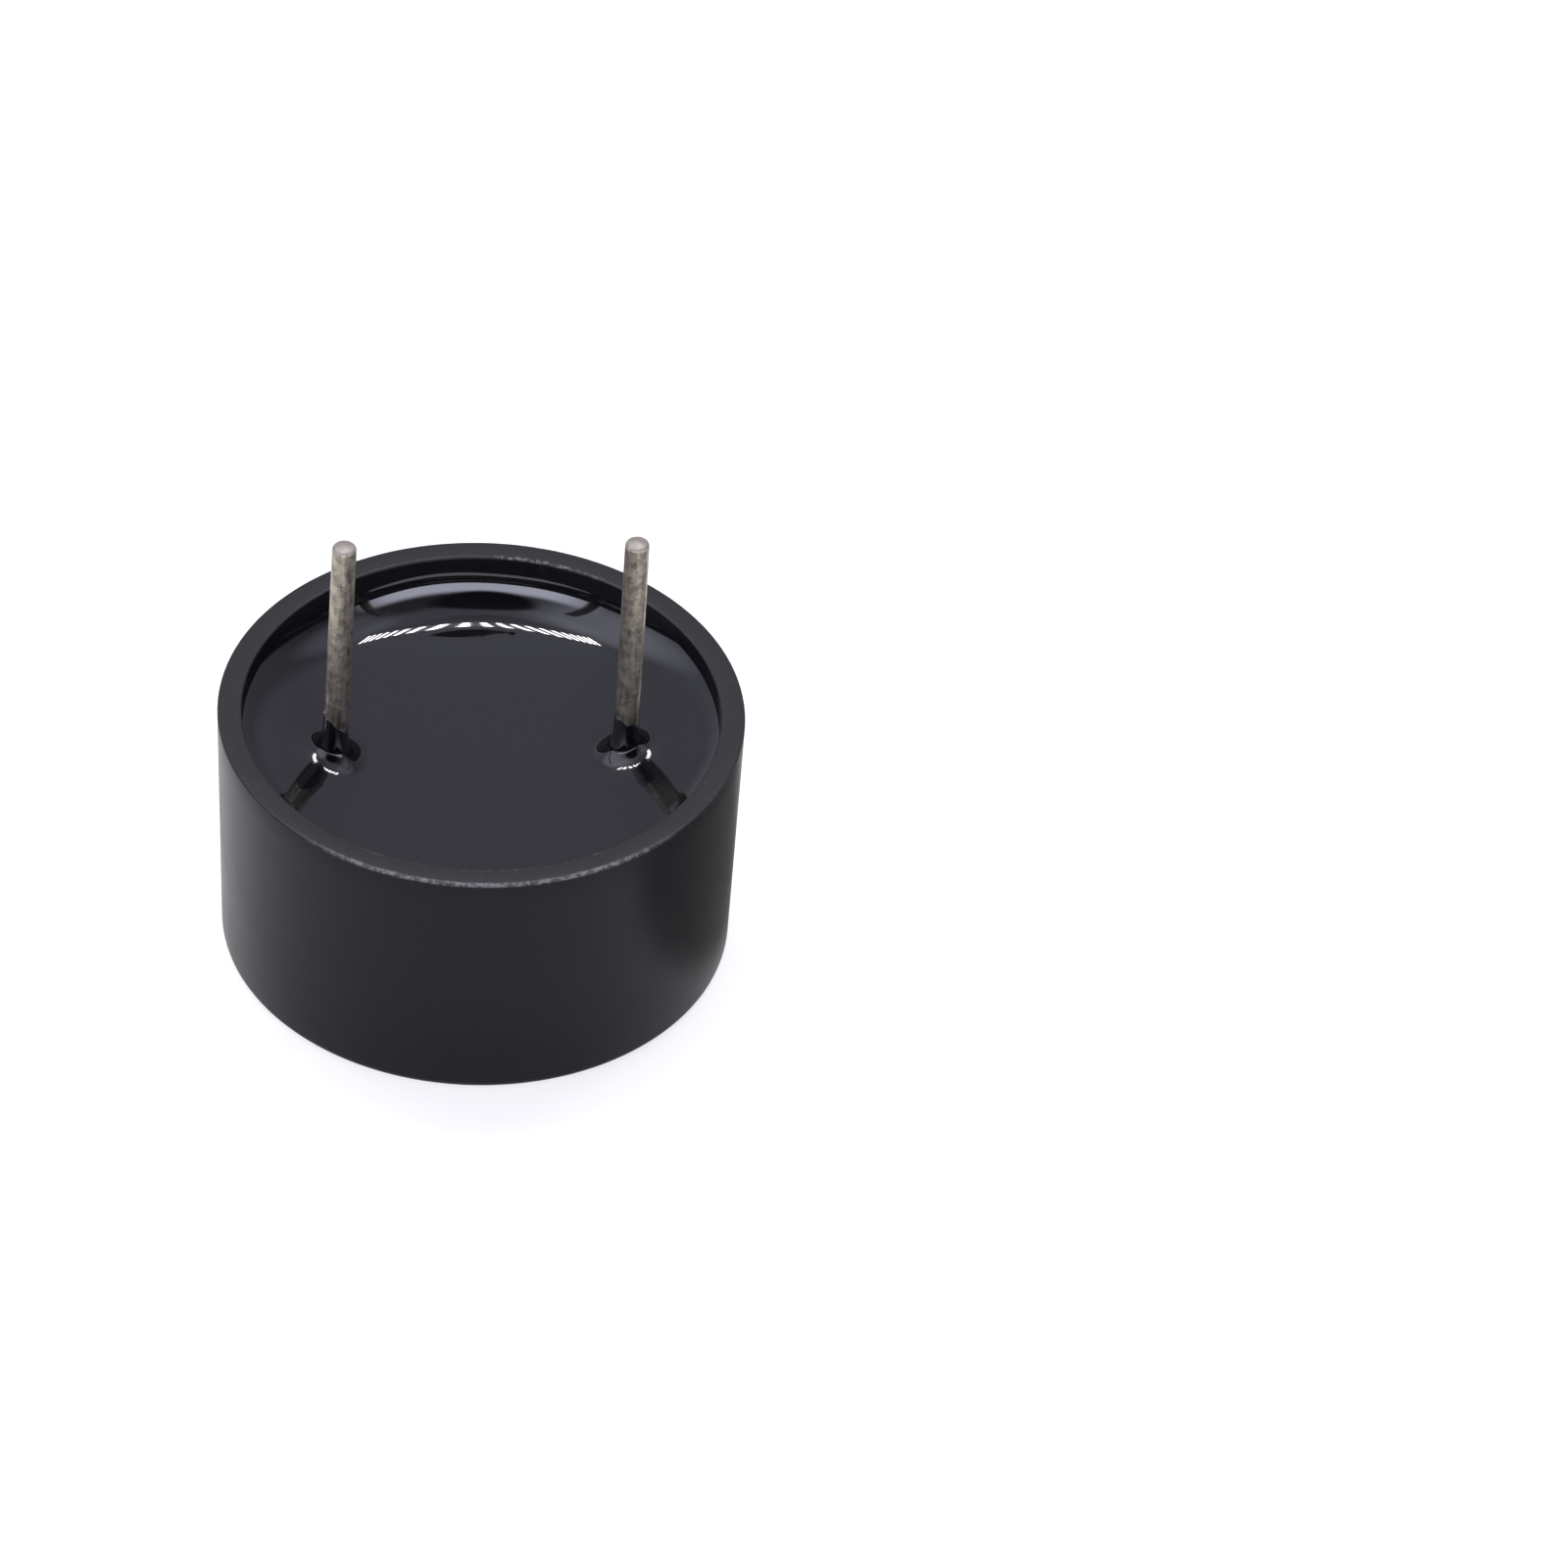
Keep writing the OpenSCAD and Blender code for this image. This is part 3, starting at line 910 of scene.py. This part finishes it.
class InnerDrive:
    """The sealed inner pieces, which keep their CAD shape and get their own finishes."""

    STEEL = InnerFinish("soft_iron", (0.52, 0.52, 0.53), (0.36, 0.36, 0.37), 1.0, 0.4)
    COPPER = InnerFinish("enamelled_copper", (0.72, 0.33, 0.13), (0.5, 0.2, 0.07), 0.85, 0.3, 0.06)
    SOLDER = InnerFinish("bright_solder", (0.66, 0.67, 0.69), (0.5, 0.5, 0.52), 1.0, 0.3)
    FINISHES = {
        Node.SOLDER_POSITIVE: SOLDER,
        Node.SOLDER_NEGATIVE: SOLDER,
        Node.BOARD: InnerFinish("board_laminate", (0.13, 0.3, 0.18), (0.08, 0.2, 0.12), 0.0, 0.45),
        Node.LEAD_POSITIVE: COPPER,
        Node.LEAD_NEGATIVE: COPPER,
        Node.YOKE: STEEL,
        Node.CORE: STEEL,
        Node.COIL: COPPER,
        Node.MAGNET: InnerFinish("sintered_ferrite", (0.09, 0.09, 0.095), (0.05, 0.05, 0.055), 0.0, 0.6),
        Node.SUPPORT: InnerFinish("natural_plastic", (0.76, 0.73, 0.65), (0.68, 0.64, 0.55), 0.0, 0.5),
        Node.DIAPHRAGM: InnerFinish("foil_steel", (0.64, 0.65, 0.66), (0.52, 0.53, 0.54), 1.0, 0.28),
        Node.MASS: InnerFinish("pale_tan_disc", (0.84, 0.66, 0.47), (0.72, 0.52, 0.34), 0.15, 0.6, 0.07),
    }

    def dress(self) -> None:
        """Give each inner node its finish, one material per finish."""
        made: dict[str, bpy.types.Material] = {}
        for node, finish in self.FINISHES.items():
            material = made.get(finish.name) or finish.material()
            made[finish.name] = material
            dress(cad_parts[node.value], material)
            LOG.info("%s dressed as %s", node.value, finish.name)


# Studio


def direction(azimuth: float, elevation: float) -> Vector:
    """Unit vector from the buzzer towards a place in the studio.

    Args:
        azimuth: Angle round from the front, in degrees; positive is to the right.
        elevation: Angle over the floor, in degrees.

    Returns:
        The direction.
    """
    az, el = math.radians(azimuth), math.radians(elevation)
    return Vector((math.sin(az) * math.cos(el), -math.cos(az) * math.cos(el), math.sin(el)))


@dataclass(frozen=True)
class Glow:
    """Round soft patch of the surroundings, full inside one angle and gone outside another."""

    azimuth: float
    elevation: float
    inner: float
    outer: float
    radiance: float = 1.0

    def level(self, axes: tuple[Flow, Flow, Flow]) -> Flow:
        """Brightness that the patch adds in a direction.

        Args:
            axes: The direction's three values.

        Returns:
            The patch's radiance, faded between its two angles.
        """
        to = direction(self.azimuth, self.elevation)
        cosine = axes[0] * to.x + axes[1] * to.y + axes[2] * to.z
        gone, full = math.cos(math.radians(self.outer)), math.cos(math.radians(self.inner))
        return cosine.step(gone, full) * self.radiance


@dataclass
class Studio:
    """White floor, a lit room round it and a row of lamps overhead."""

    glows: tuple[Glow, ...] = (
        Glow(-75, 35, 12, 42, 1.5),
        Glow(80, 40, 8, 32, 0.8),
        Glow(160, 62, 10, 42, 0.3),
    )
    operator: Glow = Glow(-4, 41, 17, 24)
    room_r: float = 6500.0
    room_base: float = 0.24
    room_back: float = 0.14
    room_left: float = 0.35
    room_top: float = 0.16
    window: float = 6.5
    ceiling: float = 0.4
    room_tint: Colour = (0.94, 0.945, 1.16)
    room_full: float = 12.0
    floor_half: float = 4.0
    floor_white: float = 0.7
    card_place: tuple[float, float] = (12.4, -1.0)
    card_inner: float = 6.0
    card_outer: float = 7.4
    card_dark: float = 0.7
    lamp_count: int = 20
    lamp_pitch: float = 10.2
    lamp_width: float = 4.0
    lamp_length: float = 50.0
    lamp_height: float = 200.0
    lamp_back: float = 60.0
    lamp_radiance: float = 50.0

    def world(self) -> None:
        """Put plain white behind the floor's far edge."""
        world = bpy.data.worlds.new("white_surroundings")
        bpy.context.scene.world = world
        world.use_nodes = True
        g = Graph(world.node_tree)
        seen, _ = g.looks()
        colour = g.blend(seen, BLACK, WHITE)
        shader = g.make("ShaderNodeBackground", {}, {"Color": colour, "Strength": 1.0})
        g.make("ShaderNodeOutputWorld", {}, {"Surface": shader.outputs[0]})

    def room(self) -> None:
        """Close a lit room round the set, which lights the buzzer and is mirrored in it.

        The camera looks through it from inside. The room is brighter behind and to the left, with soft
        patches, a wide bright window low in front, a paler ceiling above it, and a dark spot where the
        camera and its operator stand. It is a sphere: a ring's radius is the sine of its angle from the
        top, and its height is the cosine.
        """
        polar = np.radians(np.linspace(175.0, 5.0, 18))[:, None]
        angle = np.linspace(0.0, TURN, 36, endpoint=False)
        level = np.repeat(np.cos(polar), len(angle), 1)
        points = np.stack([np.sin(polar) * np.cos(angle), np.sin(polar) * np.sin(angle), level], -1)
        obj = ring_grid(points * self.room_r, False, "studio_room")
        obj.visible_camera = False
        material, g = new_graph("lit_room")
        axes = g.axes(g.node("ShaderNodeVectorMath", {"operation": "NORMALIZE"}, {0: g.place()}))
        x, y, z = axes
        room = self.room_base + y.step(-0.25, 0.35) * self.room_back
        room = room + x.step(0.15, -0.85) * self.room_left + z.step(0.66, 0.85) * self.room_top
        for glow in self.glows:
            room = room + glow.level(axes)
        window = z.step(-0.2, 0.12) * z.step(0.46, 0.28) * y.step(-0.45, -0.85) * self.window
        ceiling = z.step(0.7, 0.85) * z.step(0.99, 0.95) * y.step(0.05, -0.15) * self.ceiling
        room = (room + window + ceiling) * (1.0 - self.operator.level(axes))
        full = tuple(self.room_full * part for part in self.room_tint)
        colour = g.blend(room * (1.0 / self.room_full), BLACK, full)
        shader = g.make("ShaderNodeEmission", {}, {"Color": colour, "Strength": 1.0})
        g.make("ShaderNodeOutputMaterial", {}, {"Surface": shader.outputs[0]})
        dress(obj, material)

    def floor(self) -> None:
        """Lay a white floor that keeps a soft shadow.

        On its right lies a round dark card that only mirrored rays see.
        """
        mesh = bpy.data.meshes.new("studio_floor")
        corners = np.array([[-1, -1, 0], [1, -1, 0], [1, 1, 0], [-1, 1, 0]]) * self.floor_half
        mesh.from_pydata(corners.tolist(), [], [(0, 1, 2, 3)])
        obj = bpy.data.objects.new("studio_floor", mesh)
        bpy.context.scene.collection.objects.link(obj)
        material, g = new_graph("white_floor")
        x, y, _ = g.axes(g.place())
        across, along = x - self.card_place[0] * MM, y - self.card_place[1] * MM
        distance = (across * across + along * along) ** 0.5
        card = distance.step(self.card_outer * MM, self.card_inner * MM)
        seen, mirrored = g.looks()
        paper = g.make("ShaderNodeBsdfDiffuse", {}, {"Color": (0.9, 0.9, 0.9)})
        white = g.blend(mirrored * card * self.card_dark, WHITE, BLACK)
        glow = g.make("ShaderNodeEmission", {}, {"Color": white, "Strength": 1.0})
        share = seen * self.floor_white + mirrored * card * (1.0 - self.floor_white)
        mix = g.make("ShaderNodeMixShader", {}, {0: share, 1: paper.outputs[0], 2: glow.outputs[0]})
        g.make("ShaderNodeOutputMaterial", {}, {"Surface": mix.outputs[0]})
        dress(obj, material)

    def lamps(self) -> None:
        """Hang a straight row of small lamps overhead, which the resin mirrors as dots."""
        data = bpy.data.lights.new("overhead_lamp", "AREA")
        data.shape = "RECTANGLE"
        data.size, data.size_y = self.lamp_width * MM, self.lamp_length * MM
        data.energy = self.lamp_radiance * math.pi * data.size * data.size_y
        for place in range(self.lamp_count):
            obj = bpy.data.objects.new(f"overhead_lamp_{place}", data)
            across = (place - (self.lamp_count - 1) / 2) * self.lamp_pitch
            obj.location = Vector((across, self.lamp_back, self.lamp_height)) * MM
            obj.visible_camera = False
            bpy.context.scene.collection.objects.link(obj)

    def build(self) -> None:
        """Set up the surroundings, room, floor and lamps."""
        self.world()
        self.room()
        self.floor()
        self.lamps()
        LOG.info("studio with %d soft patches and %d lamps", len(self.glows), self.lamp_count)


@dataclass
class Camera:
    """Long-lens camera at the photograph's viewing angle, with the buzzer left of the middle."""

    azimuth: float = -4.0
    elevation: float = 40.9
    roll: float = 1.78
    distance: float = 400.0
    focal_px: float = 18187.0
    centre_px: tuple[float, float] = (487.9, 833.1)
    centre_z: float = 3.1

    def build(self) -> None:
        """Place the camera so that the housing's centre falls on its pixel, with no lens shift.

        The camera first looks at the centre and is rolled; then it is turned by the small rotation that
        carries its axis onto the centre's own direction in the picture, backwards.
        """
        back = direction(self.azimuth, self.elevation)
        right = (-back).cross(Vector((0.0, 0.0, 1.0))).normalized()
        up = right.cross(-back)
        c, s = math.cos(math.radians(self.roll)), math.sin(math.radians(self.roll))
        right, up = c * right + s * up, c * up - s * right
        looking = Matrix((right, up, back)).transposed()
        off_x = (self.centre_px[0] - PHOTO_PX / 2) / self.focal_px
        off_y = (PHOTO_PX / 2 - self.centre_px[1]) / self.focal_px
        seen = Vector((off_x, off_y, -1.0)).normalized()
        swing = Vector((0.0, 0.0, -1.0)).rotation_difference(seen).to_matrix()
        data = bpy.data.cameras.new("photo_camera")
        data.sensor_width = 36.0
        data.lens = self.focal_px * data.sensor_width / PHOTO_PX
        data.clip_start, data.clip_end = 0.01, 20.0
        obj = bpy.data.objects.new("photo_camera", data)
        turn = (looking @ swing.transposed()).to_4x4()
        place = Vector((0.0, 0.0, self.centre_z * MM)) + back * self.distance * MM
        obj.matrix_world = Matrix.Translation(place) @ turn
        bpy.context.scene.collection.objects.link(obj)
        bpy.context.scene.camera = obj


def main() -> None:
    """Build the camera, studio and every piece in order."""
    logging.basicConfig(level=logging.INFO, format="%(name)s: %(message)s")
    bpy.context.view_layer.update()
    bpy.context.scene.view_settings.view_transform = "Standard"
    Camera().build()
    Studio().build()
    housing = Housing()
    for part in (housing, Resin(housing), Pins(), InnerDrive()):
        part.dress()


if __name__ == "__main__":
    main()
